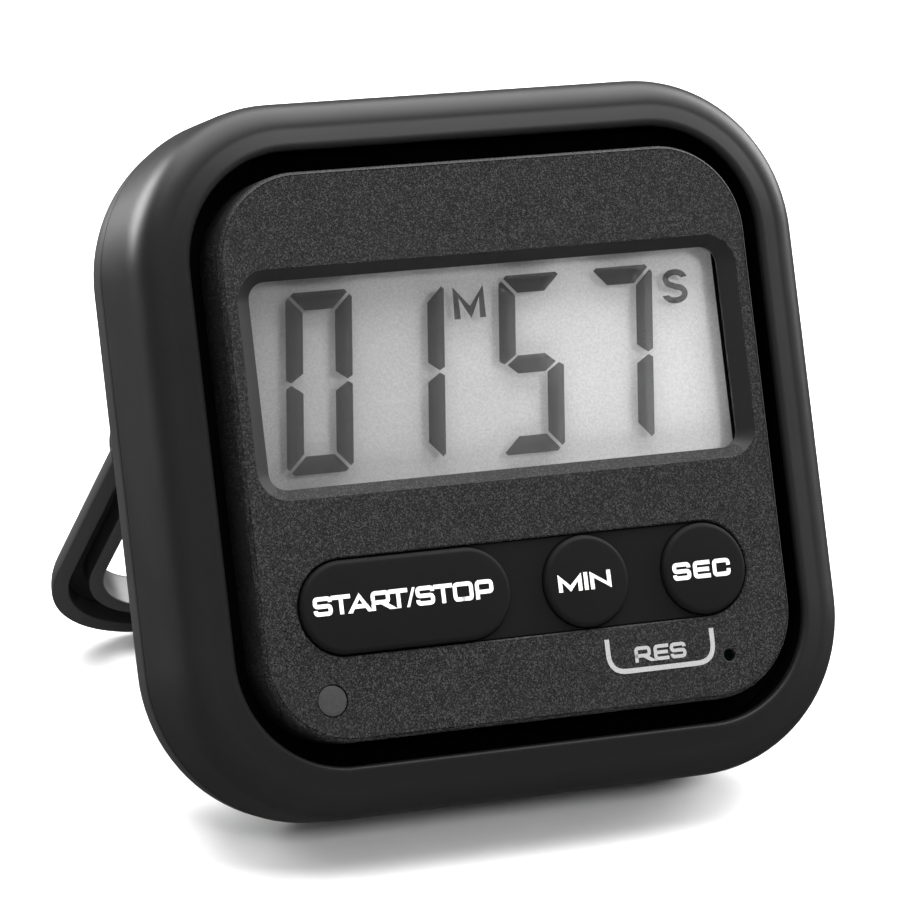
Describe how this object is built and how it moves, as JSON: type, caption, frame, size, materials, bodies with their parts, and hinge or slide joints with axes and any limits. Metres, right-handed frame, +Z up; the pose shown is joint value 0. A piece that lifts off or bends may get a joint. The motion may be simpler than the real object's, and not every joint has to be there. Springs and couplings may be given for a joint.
{
  "type": "kitchen timer",
  "caption": "Square digital countdown timer in a thick rounded ring housing, with a display, three keys and a folding loop stand behind.",
  "frame": {"origin": "middle of the footprint, on the surface the timer stands on with its stand open", "axes": "+Z up, -Y towards the reader, so the face looks towards -Y and leans back about 30 degrees; +X to the right as seen from the front"},
  "size_m": [0.072, 0.055, 0.067],
  "materials": {
    "soft_touch_charcoal": "soft-touch matt charcoal",
    "textured_black": "fine spark-textured black",
    "cover_grey": "satin dark grey",
    "clear_window": "clear plastic window",
    "display_glass": "liquid crystal glass with dark segments",
    "display_back": "pale grey reflector film",
    "contact_rubber": "layered contact rubber",
    "key_rubber": "matt black rubber",
    "lamp_lens": "smoky diffused lens",
    "board_green": "green circuit board",
    "chip_black": "black resin drop",
    "screw_steel": "zinc-plated steel",
    "nickel": "nickel plate",
    "cell_sleeve": "plain printed cell sleeve",
    "red_lead": "red insulation",
    "black_lead": "black insulation",
    "brass": "brass sounder disc"
  },
  "bodies": {
    "case": {"front_housing": "soft_touch_charcoal", "face_panel": "textured_black", "rear_cover": "cover_grey", "display_window": "clear_window", "lcd_cell": "display_glass", "lcd_reflector": "display_back", "zebra_strip": "contact_rubber", "keypad_sheet": "key_rubber", "signal_led": "lamp_lens", "circuit_board": "board_green", "driver_chip": "chip_black", "board_screw_1": "screw_steel", "board_screw_2": "screw_steel", "board_screw_3": "screw_steel", "board_screw_4": "screw_steel", "case_screw_1": "screw_steel", "case_screw_2": "screw_steel", "case_screw_3": "screw_steel", "case_screw_4": "screw_steel", "battery": "cell_sleeve", "battery_contact_plus": "nickel", "battery_contact_minus": "nickel", "battery_spring": "nickel", "red_lead": "red_lead", "black_lead": "black_lead", "magnet_left": "nickel", "magnet_right": "nickel", "buzzer": "brass", "stand_pin_left": "screw_steel", "stand_pin_right": "screw_steel"},
    "stand": {"stand": "cover_grey"},
    "start_stop_key": {"start_stop_button": "key_rubber"},
    "min_key": {"min_button": "key_rubber"},
    "sec_key": {"sec_button": "key_rubber"},
    "battery_door": {"battery_door": "cover_grey"}
  },
  "joints": [
    {"name": "stand_fold", "type": "hinge", "parent": "case", "child": "stand", "pos_m": [0, 0.00615, 0.03256], "axis": [-1, 0, 0], "range_deg": [0, 64.4]},
    {"name": "start_stop_press", "type": "slide", "parent": "case", "child": "start_stop_key", "axis": [0, 0.8619, -0.5071], "range_m": [0, 0.0008], "stiffness_N_per_m": 500, "springref_m": -0.001},
    {"name": "min_press", "type": "slide", "parent": "case", "child": "min_key", "axis": [0, 0.8619, -0.5071], "range_m": [0, 0.0008], "stiffness_N_per_m": 500, "springref_m": -0.001},
    {"name": "sec_press", "type": "slide", "parent": "case", "child": "sec_key", "axis": [0, 0.8619, -0.5071], "range_m": [0, 0.0008], "stiffness_N_per_m": 500, "springref_m": -0.001},
    {"name": "battery_door_off", "type": "slide", "parent": "case", "child": "battery_door", "axis": [0, 0.8619, -0.5071], "range_m": [0, 0.012]}
  ]
}
